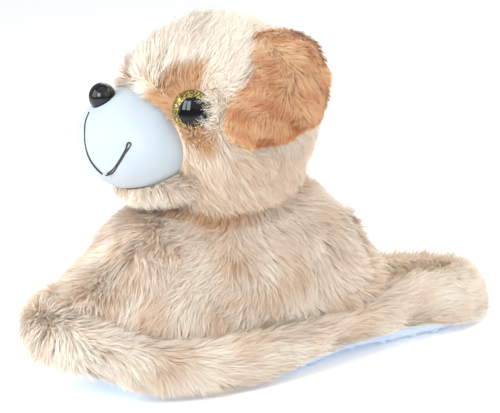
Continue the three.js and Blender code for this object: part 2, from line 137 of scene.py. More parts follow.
def mesh_of(name, points, faces):
    """A smooth-shaded mesh in metres from points in mm and rows of corner numbers."""
    mesh = bpy.data.meshes.new(name)
    mesh.vertices.add(len(points))
    mesh.vertices.foreach_set("co", np.float32(points * MM).ravel())
    mesh.loops.add(faces.size)
    mesh.loops.foreach_set("vertex_index", np.int32(faces).ravel())
    mesh.polygons.add(len(faces))
    mesh.polygons.foreach_set("loop_start", np.arange(0, faces.size, faces.shape[1], dtype=np.int32))
    mesh.update(calc_edges=True)
    mesh.shade_smooth()
    return mesh


def place(name, mesh, material, nodes=()):
    """A piece of the slipper that stands for these nodes of the part."""
    piece = bpy.data.objects.new(name, mesh)
    bpy.context.scene.collection.objects.link(piece)
    mesh.materials.append(material)
    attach(piece, "root")
    if nodes:
        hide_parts(*nodes)


class Skin:
    """Backing cloth that pile grows from: points, triangles and outward normals, in mm."""

    def __init__(self, points, faces):
        self.points = np.array(points, dtype=float)
        self.faces = np.array(faces, dtype=int)
        self.find_normals()

    def find_normals(self):
        a, b, c = (self.points[self.faces[:, k]] for k in range(3))
        across = np.cross(b - a, c - a)
        self.areas = np.linalg.norm(across, axis=1) / 2
        normals = np.zeros_like(self.points)
        for k in range(3):
            np.add.at(normals, self.faces[:, k], across)
        self.normals = unit(normals)

    def relax(self, rounds, share=0.5):
        """Moves each point toward the middle of its neighbours."""
        edges = np.vstack([self.faces[:, [0, 1]], self.faces[:, [1, 2]], self.faces[:, [2, 0]]])
        count = np.bincount(edges[:, 0], minlength=len(self.points))[:, None]
        for _ in range(rounds):
            total = np.stack([
                np.bincount(edges[:, 0], self.points[edges[:, 1], k], minlength=len(self.points))
                for k in range(3)
            ], axis=1)
            self.points += share * (total / np.maximum(count, 1) - self.points)
        self.find_normals()

    def sink(self, depth):
        """Moves the surface inwards."""
        self.points -= self.normals * np.broadcast_to(depth, (len(self.points),))[:, None]
        self.find_normals()

    def tree(self):
        return BVHTree.FromPolygons(self.points.tolist(), self.faces.tolist())


def softened(node, voxel, rounds):
    """The node's form in even small faces, with its ridges relaxed."""
    body = bpy.data.objects.new("form", node.data.copy())
    bpy.context.scene.collection.objects.link(body)
    remesh = body.modifiers.new("even", "REMESH")
    remesh.mode = "VOXEL"
    remesh.voxel_size = voxel * MM
    even = bpy.data.meshes.new_from_object(body.evaluated_get(bpy.context.evaluated_depsgraph_get()))
    even.calc_loop_triangles()
    points = np.empty(len(even.vertices) * 3)
    even.vertices.foreach_get("co", points)
    faces = np.empty(len(even.loop_triangles) * 3, dtype=np.int32)
    even.loop_triangles.foreach_get("vertices", faces)
    bpy.data.objects.remove(body)
    bpy.data.meshes.remove(even)
    skin = Skin(points.reshape(-1, 3) / MM, faces.reshape(-1, 3))
    skin.relax(rounds)
    return skin


def strip(start, rows, around, k):
    """Faces of a tube in its column k, over this many rows of corners from start on."""
    faces = []
    for i in range(rows):
        a, b = start + i * around + k, start + i * around + (k + 1) % around
        faces += [(a, b, b + around), (a, b + around, a + around)]
    return faces


def egg(middle, radii, rings, around):
    """A closed ellipsoid with its poles to front and back."""
    points = [middle + radii * (0, -1, 0)]
    for i in range(1, rings):
        lean = math.pi * i / rings
        for k in range(around):
            turn = math.tau * k / around
            way = (math.sin(lean) * math.sin(turn), -math.cos(lean), math.sin(lean) * math.cos(turn))
            points.append(middle + radii * way)
    points.append(middle + radii * (0, 1, 0))
    faces = []
    last = len(points) - 1
    for k in range(around):
        following = (k + 1) % around
        faces.append((0, 1 + following, 1 + k))
        faces += strip(1, rings - 2, around, k)
        end = 1 + (rings - 2) * around
        faces.append((last, end + k, end + following))
    return Skin(points, faces)


# Pile

# How unevenly it lies: nap, lift in degrees, sway to the side, twist and length
NAP_JITTER, LIFT_JITTER = 0.24, 7
SWAY_SIZE, SWAY, SWAY_JITTER = 7, 0.38, 0.14
TWIST = 0.42
SHORTEST, LONGEST = 0.72, 1.2


def roots_on(skin, count, keep, random):
    """Points on a skin with their normals, evenly spread where keep(points, normals) is 1."""
    chances = np.cumsum(skin.areas) / skin.areas.sum()
    points, normals = [], []
    total = 0
    while total < count:
        picked = np.searchsorted(chances, random.random(count))
        u, v = random.random(count), random.random(count)
        flip = u + v > 1
        u[flip], v[flip] = 1 - u[flip], 1 - v[flip]
        corner = skin.faces[np.minimum(picked, len(skin.faces) - 1)]
        shares = np.stack([1 - u - v, u, v], axis=1)[:, :, None]
        at = (skin.points[corner] * shares).sum(axis=1)
        out = unit((skin.normals[corner] * shares).sum(axis=1))
        kept = random.random(count) < keep(at, out)
        points.append(at[kept])
        normals.append(out[kept])
        total += kept.sum()
    return np.concatenate(points)[:count], np.concatenate(normals)[:count]


def over_floor(points):
    """Just over the floor."""
    return np.full(len(points), 0.4)


def grow(name, skin, count, keep, coat, seed, rungs=3, width=0.3, tuft=8, pull=0.36, floor=over_floor,
         lean=None):
    """Mesh of tapered strands. coat(points, normals) gives nap, length, lift in degrees and tone,
    and lean(points) a way that the strands turn their face and shading to."""
    random = np.random.default_rng(seed)
    at, out = roots_on(skin, count, keep, random)
    nap, length, lift, tone = coat(at, out)
    nap = flat_part(nap + random.normal(0, NAP_JITTER, nap.shape), out)
    length = length * random.uniform(SHORTEST, LONGEST, count)
    lift = np.radians(lift + random.normal(0, LIFT_JITTER, count))
    side = np.cross(nap, out)
    sway = (ripple(at, SWAY_SIZE, seed + 1) * SWAY + random.normal(0, SWAY_JITTER, count))[:, None]
    steps = np.linspace(0, 1, rungs)
    path = np.zeros((rungs, count, 3))
    for i in range(1, rungs):
        middle = (steps[i] + steps[i - 1]) / 2
        angle = lift * (1.35 - 0.85 * middle)
        way = nap * np.cos(angle)[:, None] + out * np.sin(angle)[:, None] + side * sway * middle
        path[i] = path[i - 1] + unit(way) * (length * (steps[i] - steps[i - 1]))[:, None]
    leaders = random.choice(count, max(1, count // tuft), replace=False)
    tree = KDTree(len(leaders))
    for number, leader in enumerate(leaders):
        tree.insert(at[leader], number)
    tree.balance()
    led = leaders[np.array([tree.find(p)[1] for p in at])]
    for i in range(1, rungs):
        own, shared = at + path[i], at[led] + path[i][led]
        path[i] = own + (shared - own) * pull * steps[i] ** 1.3 - at
    rows = at + path
    rows[..., 2] = np.maximum(rows[..., 2], floor(at) + 0.4 * random.random(count))
    run = unit(rows[-1] - rows[0])
    across = unit(np.cross(run, out))
    twist = np.clip(random.normal(0, TWIST, count), -1, 1)[:, None]
    across = across * np.cos(twist) + np.cross(run, across) * np.sin(twist)
    guide = out if lean is None else lean(at)
    across *= np.where((np.cross(across, run) * guide).sum(axis=1, keepdims=True) < 0, -1.0, 1.0)
    half = width / 2 * random.uniform(0.6, 1.35, count)[:, None]
    taper = (1.0, 0.85)
    points = np.empty((count, 2 * rungs - 1, 3))
    for i in range(rungs - 1):
        points[:, 2 * i] = rows[i] - across * half * taper[i]
        points[:, 2 * i + 1] = rows[i] + across * half * taper[i]
    points[:, -1] = rows[-1]
    pattern = []
    for i in range(rungs - 2):
        a = 2 * i
        pattern += [(a, a + 1, a + 3), (a, a + 3, a + 2)]
    pattern.append((2 * rungs - 4, 2 * rungs - 3, 2 * rungs - 2))
    pattern = np.array(pattern)
    corners = 2 * rungs - 1
    faces = (np.arange(count)[:, None, None] * corners + pattern).reshape(-1, 3)
    mesh = mesh_of(name, points.reshape(-1, 3), faces)
    up_strand = np.append(np.repeat(steps[:-1], 2), 1.0)
    marks = np.ones((count, corners, 4), dtype=np.float32)
    marks[..., 0] = up_strand
    marks[..., 1] = (0.5 * random.random(count) + 0.5 * random.random(count)[led])[:, None]
    marks[..., 2] = tone[:, None]
    strand = mesh.attributes.new("strand", "FLOAT_COLOR", "POINT")
    strand.data.foreach_set("color", marks.ravel())
    shaded = out if lean is None else unit(out + guide)
    soft = unit(0.6 * shaded + 0.4 * np.cross(across, run))
    mesh.normals_split_custom_set_from_vertices(np.repeat(soft, corners, axis=0))
    lay_cells(mesh, count, faces, up_strand)
    return mesh


# Short straight strands that fill the pile between the long ones
FLUFF = {"rungs": 2, "width": 0.3, "tuft": 12, "pull": 0.18}
FLUFF_SHARE, FLUFF_LIFT = 0.86, 5


def shorter(coat):
    """The same coat a little shorter and more upright, for the fluff in it."""
    def short_coat(points, normals):
        nap, length, lift, tone = coat(points, normals)
        return nap, length * FLUFF_SHARE, lift + FLUFF_LIFT, tone
    return short_coat


def lay_cells(mesh, count, faces, up_strand):
    """A flat map of the mesh, with each strand in a small cell of its own."""
    cells = math.ceil(math.sqrt(count))
    number = np.arange(count)
    corner = np.stack([number % cells, number // cells], axis=1) / cells
    corners = len(up_strand)
    local = np.empty((corners, 2))
    local[:, 1] = 0.15 + 0.7 * up_strand
    local[:-1, 0] = np.tile([0.15, 0.85], (corners - 1) // 2)
    local[-1, 0] = 0.5
    flat = (corner[:, None, :] + local[None] / cells).reshape(-1, 2)
    layer = mesh.uv_layers.new(name="OFBake")
    layer.data.foreach_set("uv", np.float32(flat[faces.ravel()]).ravel())


# Materials

def new_material(name):
    """A material and its nodes, with the shader and the output already joined."""
    material = bpy.data.materials.new(name)
    material.use_nodes = True
    nodes, links = material.node_tree.nodes, material.node_tree.links
    return material, nodes, links, nodes["Principled BSDF"]


def tune(node, values):
    """Sets a node's inputs by name."""
    for word, value in values.items():
        node.inputs[word].default_value = value


def pile_shade():
    """Colour of a strand from its root to its tip, with its own chance, the tone of its place and painted
    shade at the root.
    """
    group = bpy.data.node_groups.new("pile shade", "ShaderNodeTree")
    for word in ("Root", "Light", "Middle", "Deep"):
        group.interface.new_socket(name=word, in_out="INPUT", socket_type="NodeSocketColor")
    group.interface.new_socket(name="Spread", in_out="INPUT", socket_type="NodeSocketFloat")
    group.interface.new_socket(name="Colour", in_out="OUTPUT", socket_type="NodeSocketColor")
    nodes, links = group.nodes, group.links
    given, made = nodes.new("NodeGroupInput"), nodes.new("NodeGroupOutput")
    strand = nodes.new("ShaderNodeAttribute")
    strand.attribute_name = "strand"
    parts = nodes.new("ShaderNodeSeparateColor")
    links.new(strand.outputs["Color"], parts.inputs["Color"])

    def maths(kind, *values):
        node = nodes.new("ShaderNodeMath")
        node.operation = kind
        node.use_clamp = True
        for socket, value in zip(node.inputs, values):
            if isinstance(value, (int, float)):
                socket.default_value = value
            else:
                links.new(value, socket)
        return node.outputs[0]

    def blend(share, a, b, kind="MIX"):
        node = nodes.new("ShaderNodeMix")
        node.data_type = "RGBA"
        node.blend_type = kind
        links.new(share, node.inputs["Factor"])
        links.new(a, node.inputs["A"])
        links.new(b, node.inputs["B"])
        return node.outputs["Result"]

    centred = maths("MULTIPLY", parts.outputs["Green"], given.outputs["Spread"])
    tone = maths("ADD", parts.outputs["Blue"], centred)
    first = maths("MULTIPLY", tone, 2.0)
    second = maths("MULTIPLY_ADD", tone, 2.0, -1.0)
    colour = blend(first, given.outputs["Light"], given.outputs["Middle"])
    colour = blend(second, colour, given.outputs["Deep"])
    # Toward the root the colour is multiplied by the root tint: partly the pile's own warmer base, partly
    # painted shade deep in the pile.
    root_tint_and_shade = maths("SUBTRACT", 1.0, maths("POWER", parts.outputs["Red"], 0.6))
    colour = blend(root_tint_and_shade, colour, given.outputs["Root"], "MULTIPLY")
    links.new(colour, made.inputs["Colour"])
    return group


def pile_material(name, shade, root, light, middle, deep, spread):
    """Soft matt pile."""
    material, nodes, links, shader = new_material(name)
    colour = nodes.new("ShaderNodeGroup")
    colour.node_tree = shade
    tune(colour, {"Root": srgb(*root), "Light": srgb(*light), "Middle": srgb(*middle),
                  "Deep": srgb(*deep), "Spread": spread})
    links.new(colour.outputs["Colour"], shader.inputs["Base Color"])
    tune(shader, {"Roughness": 0.72, "Specular IOR Level": 0.25, "Sheen Weight": 0.45,
                  "Sheen Roughness": 0.45})
    return material


def cloth_grain():
    """Height of a fine knit or nap, and a mask of its light and dark."""
    group = bpy.data.node_groups.new("cloth grain", "ShaderNodeTree")
    group.interface.new_socket(name="Scale", in_out="INPUT", socket_type="NodeSocketFloat")
    group.interface.new_socket(name="Height", in_out="OUTPUT", socket_type="NodeSocketFloat")
    group.interface.new_socket(name="Mottle", in_out="OUTPUT", socket_type="NodeSocketFloat")
    nodes, links = group.nodes, group.links
    given, made = nodes.new("NodeGroupInput"), nodes.new("NodeGroupOutput")
    where = nodes.new("ShaderNodeTexCoord")
    grain = nodes.new("ShaderNodeTexNoise")
    grain.inputs["Detail"].default_value = 3.0
    links.new(where.outputs["Object"], grain.inputs["Vector"])
    links.new(given.outputs["Scale"], grain.inputs["Scale"])
    broad = nodes.new("ShaderNodeTexNoise")
    broad.inputs["Scale"].default_value = 45.0
    links.new(where.outputs["Object"], broad.inputs["Vector"])
    links.new(grain.outputs["Fac"], made.inputs["Height"])
    links.new(broad.outputs["Fac"], made.inputs["Mottle"])
    return group


def cloth_material(name, grain, light, dark, scale, depth):
    """Cloth with a fine bump and a faint mottle between two colours."""
    material, nodes, links, shader = new_material(name)
    weave = nodes.new("ShaderNodeGroup")
    weave.node_tree = grain
    weave.inputs["Scale"].default_value = scale
    ramp = nodes.new("ShaderNodeValToRGB")
    ramp.color_ramp.elements[0].position = 0.32
    ramp.color_ramp.elements[0].color = srgb(*dark)
    ramp.color_ramp.elements[1].position = 0.68
    ramp.color_ramp.elements[1].color = srgb(*light)
    links.new(weave.outputs["Mottle"], ramp.inputs["Fac"])
    links.new(ramp.outputs["Color"], shader.inputs["Base Color"])
    bump = nodes.new("ShaderNodeBump")
    tune(bump, {"Strength": 0.5, "Distance": depth * MM})
    links.new(weave.outputs["Height"], bump.inputs["Height"])
    links.new(bump.outputs["Normal"], shader.inputs["Normal"])
    tune(shader, {"Roughness": 0.85, "Sheen Weight": 0.3})
    return material


def gloss_black(grain):
    """Polished black plastic with faint handling marks."""
    material, nodes, links, shader = new_material("polished black")
    marks = nodes.new("ShaderNodeGroup")
    marks.node_tree = grain
    marks.inputs["Scale"].default_value = 900.0
    ramp = nodes.new("ShaderNodeValToRGB")
    ramp.color_ramp.elements[0].color = (0.03, 0.03, 0.03, 1)
    ramp.color_ramp.elements[1].color = (0.08, 0.08, 0.08, 1)
    links.new(marks.outputs["Mottle"], ramp.inputs["Fac"])
    links.new(ramp.outputs["Color"], shader.inputs["Roughness"])
    tune(shader, {"Base Color": srgb(7, 8, 12), "IOR": 1.45})
    return material


def eye_material():
    """Gold glitter ring round a big black pupil, under a clear domed coat."""
    material, nodes, links, shader = new_material("glitter eye")
    disc = nodes.new("ShaderNodeAttribute")
    disc.attribute_name = "disc"
    flecks = nodes.new("ShaderNodeTexVoronoi")
    flecks.inputs["Scale"].default_value = 22.0
    links.new(disc.outputs["Vector"], flecks.inputs["Vector"])
    pick = nodes.new("ShaderNodeSeparateColor")
    links.new(flecks.outputs["Color"], pick.inputs["Color"])
    gold = nodes.new("ShaderNodeValToRGB")
    stops = gold.color_ramp
    stops.interpolation = "CONSTANT"
    stops.elements[0].color = srgb(46, 38, 16)
    stops.elements[1].position = 0.9
    stops.elements[1].color = srgb(236, 214, 130)
    for place_at, shade in ((0.3, (88, 74, 28)), (0.55, (128, 108, 44)), (0.78, (176, 152, 74))):
        stops.elements.new(place_at).color = srgb(*shade)
    links.new(pick.outputs["Red"], gold.inputs["Fac"])
    parts = nodes.new("ShaderNodeSeparateColor")
    links.new(disc.outputs["Color"], parts.inputs["Color"])
    outside_pupil = nodes.new("ShaderNodeMapRange")
    tune(outside_pupil, {"From Min": 0.71, "From Max": 0.74})
    links.new(parts.outputs["Blue"], outside_pupil.inputs["Value"])
    inside_rim = nodes.new("ShaderNodeMapRange")
    tune(inside_rim, {"From Min": 0.985, "From Max": 0.96})
    links.new(disc.outputs["Alpha"], inside_rim.inputs["Value"])
    ring = nodes.new("ShaderNodeMath")
    ring.operation = "MULTIPLY"
    links.new(outside_pupil.outputs["Result"], ring.inputs[0])
    links.new(inside_rim.outputs["Result"], ring.inputs[1])
    mix = nodes.new("ShaderNodeMix")
    mix.data_type = "RGBA"
    mix.inputs["A"].default_value = srgb(5, 5, 7)
    links.new(ring.outputs[0], mix.inputs["Factor"])
    links.new(gold.outputs["Color"], mix.inputs["B"])
    links.new(mix.outputs["Result"], shader.inputs["Base Color"])
    shine = nodes.new("ShaderNodeMath")
    shine.operation = "MULTIPLY"
    shine.inputs[1].default_value = 0.4
    links.new(ring.outputs[0], shine.inputs[0])
    links.new(shine.outputs[0], shader.inputs["Metallic"])
    tune(shader, {"Roughness": 0.3, "Specular IOR Level": 0.0})
    tune(shader, {"Coat Weight": 1.0, "Coat IOR": 1.36, "Coat Roughness": 0.02})
    return material


def thread_material():
    """Dark twisted thread."""
    material, nodes, links, shader = new_material("dark thread")
    where = nodes.new("ShaderNodeTexCoord")
    wave = nodes.new("ShaderNodeTexWave")
    wave.inputs["Scale"].default_value = 600.0
    links.new(where.outputs["Object"], wave.inputs["Vector"])
    ramp = nodes.new("ShaderNodeValToRGB")
    ramp.color_ramp.elements[0].color = srgb(30, 24, 24)
    ramp.color_ramp.elements[1].color = srgb(74, 62, 58)
    links.new(wave.outputs["Fac"], ramp.inputs["Fac"])
    links.new(ramp.outputs["Color"], shader.inputs["Base Color"])
    shader.inputs["Roughness"].default_value = 0.7
    return material


def floor_material():
    """White sweep of paper with a faint tooth, lit a little from below."""
    material, nodes, links, shader = new_material("white paper")
    tooth = nodes.new("ShaderNodeTexNoise")
    tooth.inputs["Scale"].default_value = 400.0
    bump = nodes.new("ShaderNodeBump")
    bump.inputs["Strength"].default_value = 0.05
    links.new(tooth.outputs["Fac"], bump.inputs["Height"])
    links.new(bump.outputs["Normal"], shader.inputs["Normal"])
    tune(shader, {"Base Color": (0.93, 0.94, 0.95, 1), "Roughness": 0.9})
    tune(shader, {"Emission Color": (0.97, 0.985, 1, 1), "Emission Strength": 0.215})
    return material


SHADE = pile_shade()
GRAIN = cloth_grain()
# Each pile's root tint darkens it toward the roots: partly its own colour, partly painted shade.
CREAM_PILE = pile_material(
    "cream pile", SHADE, root=(243, 221, 196), light=(247, 243, 233), middle=(230, 214, 195),
    deep=(206, 158, 112), spread=0.42)
TAN_PILE = pile_material(
    "tan pile", SHADE, root=(234, 206, 178), light=(246, 222, 190), middle=(229, 186, 143),
    deep=(206, 140, 90), spread=0.42)
SHORT_PILE = pile_material(
    "short tan plush", SHADE, root=(246, 232, 212), light=(255, 250, 240), middle=(254, 240, 217),
    deep=(250, 206, 154), spread=0.2)
CREAM_BACKING = cloth_material("cream backing", GRAIN, (238, 218, 194), (224, 198, 168), 700, 0.5)
TAN_BACKING = cloth_material("tan backing", GRAIN, (238, 192, 148), (226, 176, 130), 700, 0.5)
LINING_BACKING = cloth_material("lining backing", GRAIN, (242, 222, 196), (230, 204, 170), 700, 0.5)
VELOUR = cloth_material("white velour", GRAIN, (178, 187, 192), (172, 181, 187), 1500, 0.25)
SOLE_CLOTH = cloth_material("sole cloth", GRAIN, (222, 238, 255), (206, 226, 253), 1100, 0.3)
GLOSS_BLACK = gloss_black(GRAIN)
GLITTER_EYE = eye_material()
DARK_THREAD = thread_material()


def dress(name, skin, keep, coat, seeds, counts=(LONG_STRANDS, FLUFF_STRANDS), **ways):
    """Cream coat on a skin: long pile, and the fluff in it."""
    pile = grow(f"{name}_pile", skin, counts[0], keep, coat, seeds[0], **ways)
    place(f"{name}_pile", pile, CREAM_PILE)
    fluff = grow(f"{name}_fluff", skin, counts[1], keep, shorter(coat), seeds[1], **ways, **FLUFF)
    place(f"{name}_fluff", fluff, CREAM_PILE)


# The camera

def set_camera():
    """The photo's view: from the puppy's left, a little above."""
    roll = math.radians(VIEW_ROLL)
    back = Vector(toward(VIEW_TURN, VIEW_RAISE))
    right = (-back).cross(Vector((0, 0, 1))).normalized()
    up = right.cross(-back)
    rolled_right = math.cos(roll) * right + math.sin(roll) * up
    rolled_up = -math.sin(roll) * right + math.cos(roll) * up
    lens = bpy.data.cameras.new("camera")
    lens.sensor_width = SENSOR
    lens.lens = FOCAL_PIXELS / FRAME_WIDTH * SENSOR
    camera = bpy.data.objects.new("camera", lens)
    bpy.context.scene.collection.objects.link(camera)
    turned = Matrix((rolled_right, rolled_up, back)).transposed().to_4x4()
    camera.matrix_world = Matrix.Translation((Vector(VIEW_TARGET) + back * VIEW_DISTANCE) * MM) @ turned
    bpy.context.scene.camera = camera


set_camera()


# Head

CHIN = np.array((0.0, -53.0, 99.5))
CHIN_RADII = np.array((30.0, 20.0, 7.5))
EYE_WAYS = [toward(side * EYE_TURN, EYE_RAISE) for side in (1, -1)]

# Tan tuft of the far brow, seen past the forehead
FAR_BROW = toward(-27, 26)


def eye_centre(way):
    return HEAD + way * HEAD_RADII


def in_muzzle(points, grow_by):
    return np.linalg.norm((points - MUZZLE) / (MUZZLE_RADII + grow_by), axis=1) < 1


# Outline of the tan patch round the left eye: turn and raise on the head, in degrees
PATCH = (
    (24, 17), (27, 24), (33, 30), (40, 34), (50, 36), (59, 40), (62, 36), (60, 29), (62, 22), (64, 14),
    (66, 6), (70, 1), (69, -6), (62, -12), (53, -12), (45, -7), (40, 1), (34, 7), (29, 12),
)


def patch(points):
    """1 on the tan patches round the eyes, 0 away from them."""
    way = unit((points - HEAD) / HEAD_RADII)
    raised = np.degrees(np.arcsin(np.clip(way[:, 2], -1, 1)))
    turn = np.degrees(np.arctan2(np.abs(way[:, 0]), -way[:, 1]))
    at = np.stack([turn, raised], axis=1)
    depth = depth_in(at, np.array(PATCH, dtype=float)) + ripple(points, 5, 77) * 1.8
    return smooth(-1.5, 3.5, depth)


def head_keep(points, normals):
    keep = np.ones(len(points))
    keep[in_muzzle(points, 0.5)] = 0
    for way in EYE_WAYS:
        keep[angle_from(points, way) < math.degrees(EYE_RADIUS / HEAD_RADII[1]) * 0.97] = 0
    keep *= smooth(86, 92, points[:, 2])
    return keep


def head_coat(points, normals):
    away = unit(points - MUZZLE)
    height = smooth(112, 160, points[:, 2])[:, None]
    sides = np.abs(points[:, 0:1]) / 50
    nap = away * (0.9 + 0.2 * height) + np.array((0, 0.25, 0.35)) * height
    nap += np.array((0, 0, -0.85)) * (1 - height) * (0.4 + sides)
    swirl = ripple(points, 16, 5)[:, None]
    nap = nap + np.cross(normals, nap) * swirl * 0.35
    tan = patch(points)
    crown = smooth(150, 172, points[:, 2])
    length = HEAD_PILE - 3.0 * tan
    lift = 33.0 + 14 * crown
    length *= 1 - 0.12 * crown
    tone = 0.42 * (1 - smooth(112, 150, points[:, 2] + ripple(points, 14, 9) * 7))
    tone += 0.06 * ripple(points, 6, 12) - 0.04
    # Painted shade: the pile is darker at the bottom front of the head, in the crease over the neck.
    tone += 0.5 * (1 - smooth(84, 93, points[:, 2])) * (1 - smooth(-40, -5, points[:, 1]))
    tone = np.maximum(tone, tan * 0.75)
    near_muzzle = np.linalg.norm((points - MUZZLE) / MUZZLE_RADII, axis=1)
    length *= 0.55 + 0.45 * smooth(1.02, 1.45, near_muzzle)
    over_edge = (1 - smooth(1.08, 1.24, near_muzzle)) * smooth(MUZZLE[2] + 6, MUZZLE[2] + 16, points[:, 2])
    nap = nap * (1 - 2 * over_edge)[:, None]
    length = np.maximum(length, 7.5 * over_edge)
    lift = lift + 24 * over_edge
    brow = np.stack([np.abs(points[:, 0]) - 24, (points[:, 2] - 147) * 0.8], axis=1)
    brow = 1 - smooth(5, 14, np.linalg.norm(brow, axis=1))
    length = length + 2.5 * brow
    lift = lift + 12 * brow
    puff = 1 - smooth(3, 9, angle_from(points, FAR_BROW))
    length, lift, tone = length + 4 * puff, lift + 12 * puff, np.maximum(tone, 0.5 * puff)
    for way in EYE_WAYS:
        near = angle_from(points, way)
        close = (1 - smooth(11, 24, near))[:, None]
        from_eye = unit(points - eye_centre(way))
        over = smooth(-0.1, 0.45, from_eye @ np.array((0, 0.75, -0.65)))[:, None]
        nap = nap * (1 - close) + from_eye * (1 - 2 * over) * close
        length *= 1 - 0.42 * close[:, 0] * (1 - over[:, 0])
        length = np.maximum(length, 14.0 * close[:, 0] * over[:, 0])
        lift = lift + 36 * close[:, 0] * over[:, 0]
        tuft = smooth(0.4, 0.8, from_eye[:, 1]) * (1 - smooth(17, 21, near))
        tone = tone * (1 - 0.95 * tuft)
    return nap, length, lift, np.clip(tone, 0, 1)


def make_head():
    ball = egg(HEAD, HEAD_RADII, rings=40, around=56)
    ball.sink(PILE_DEPTH * smooth(88, 104, ball.points[:, 2]))
    place("head", mesh_of("head", ball.points, ball.faces), CREAM_BACKING, ["head"])
    dress("head", ball, head_keep, head_coat, (11, 13))

    def chin_keep(points, normals):
        return (1 - smooth(0.3, 0.7, normals[:, 1])) * ~in_muzzle(points, 0.3)

    def chin_coat(points, normals):
        nap = unit(points - CHIN) * (0.5, 0.3, 0) + np.array((0, 0.3, -0.8))
        nap = nap + np.cross(normals, nap) * ripple(points, 9, 18)[:, None] * 0.5
        # Painted shade: darker pile on the chin's underside, in the crease over the body.
        tone = 0.12 + 0.12 * ripple(points, 7, 19) + 0.75 * (1 - smooth(91, 99, points[:, 2]))
        return nap, np.full(len(points), CHIN_PILE), np.full(len(points), 36.0), tone

    def chin_lean(points):
        return np.tile((0.7, -0.5, 0.6), (len(points), 1))

    under = egg(CHIN, CHIN_RADII, rings=16, around=24)
    dress("chin", under, chin_keep, chin_coat, (17, 19), (CHIN_STRANDS, CHIN_FLUFF), lean=chin_lean)


# Muzzle, nose, mouth and eyes

def make_muzzle():
    form = egg(MUZZLE, MUZZLE_RADII, rings=44, around=64)
    form.points += form.normals * (0.35 * ripple(form.points, 13, 3))[:, None]
    form.find_normals()
    place("muzzle", mesh_of("muzzle", form.points, form.faces), VELOUR, ["muzzle"])


def make_nose():
    dome = egg(NOSE, NOSE_RADII, rings=24, around=36)
    place("nose", mesh_of("nose", dome.points, dome.faces), GLOSS_BLACK, ["nose"])


def make_eye(name, way):
    """A domed button with its back in the head."""
    out = unit(way / HEAD_RADII)
    across = unit(np.cross((0, 0, 1), out))
    up = np.cross(out, across)
    profile = [(0.9, -EYE_SUNK), (1.0, -EYE_SUNK * 0.85), (1.0, -0.2)]
    profile += [(math.cos(t), EYE_DOME * math.sin(t)) for t in np.linspace(0.08, math.pi / 2, 14)[:-1]]
    around = 48
    points, discs, faces = [], [], []
    centre = eye_centre(way)
    pupil = np.array((0.15 * np.sign(way[0]), -0.13))
    for radius, height in profile:
        for k in range(around):
            turn = math.tau * k / around
            disc = (radius * math.cos(turn), radius * math.sin(turn))
            points.append(centre + EYE_RADIUS * (across * disc[0] + up * disc[1]) + out * height)
            discs.append((*disc, math.dist(disc, pupil), radius))
    rows = len(profile)
    points += [centre - out * EYE_SUNK, centre + out * EYE_DOME]
    discs += [(0, 0, math.hypot(*pupil), 0)] * 2
    bottom, top = rows * around, rows * around + 1
    for k in range(around):
        following = (k + 1) % around
        faces.append((bottom, following, k))
        faces += strip(0, rows - 1, around, k)
        faces.append((top, (rows - 1) * around + k, (rows - 1) * around + following))
    mesh = mesh_of(name, np.array(points), np.array(faces))
    attribute = mesh.attributes.new("disc", "FLOAT_COLOR", "POINT")
    attribute.data.foreach_set("color", np.float32(discs).ravel())
    place(name, mesh, GLITTER_EYE, [name])


# Stitches of the mouth on the muzzle: turn and raise in degrees from its middle
MOUTH_LINE = ((-1, 38), (4, 27), (9, 16), (12, 2), (14.5, -13), (18, -24), (22, -32))
SMILE_OUT = ((27, -33), (37, -28.5), (47, -17), (55, -4), (60.5, 8))
SMILE_BACK = ((60.5, 8), (56, 0), (49.5, -11), (41, -22), (31, -29.5))
SMILE_MIDDLE = 2
THREAD_RADIUS, THREAD_PROUD = 0.42, 0.2


def thread(name, angles):
    """A tube of thread along points on the muzzle."""
    curve = bpy.data.curves.new(name, "CURVE")
    curve.dimensions = "3D"
    curve.bevel_depth = THREAD_RADIUS * MM
    curve.bevel_resolution = 3
    curve.resolution_u = 6
    spline = curve.splines.new("BEZIER")
    spline.bezier_points.add(len(angles) - 1)
    for point, (turn, raised) in zip(spline.bezier_points, angles):
        point.co = Vector((MUZZLE + toward(turn, raised) * (MUZZLE_RADII + THREAD_PROUD)) * MM)
        point.handle_left_type = point.handle_right_type = "AUTO"
    place(name, curve, DARK_THREAD)


# Body

NECK = np.array((0.0, -18.0, 96.0))


def outer_side(points, normals):
    """1 on the outside of the body, 0 in its hollow and under the head."""
    spine = points.copy()
    spine[:, 0] *= 0.15
    spine[:, 1] = np.clip(points[:, 1], -75, 30)
    spine[:, 2] = 20
    outward = (unit(points - spine) * normals).sum(axis=1)
    from_head = np.linalg.norm((points - HEAD) / (HEAD_RADII + 3.0), axis=1)
    under_head = (unit(HEAD - points) * normals).sum(axis=1)
    socket = (from_head < 1) & (under_head > 0.6)
    return smooth(0.1, 0.4, outward) * ~socket


def upper_keep(points, normals):
    to_head = np.linalg.norm((points - HEAD) / HEAD_RADII, axis=1)
    return outer_side(points, normals) * smooth(1.0, 1.02, to_head)


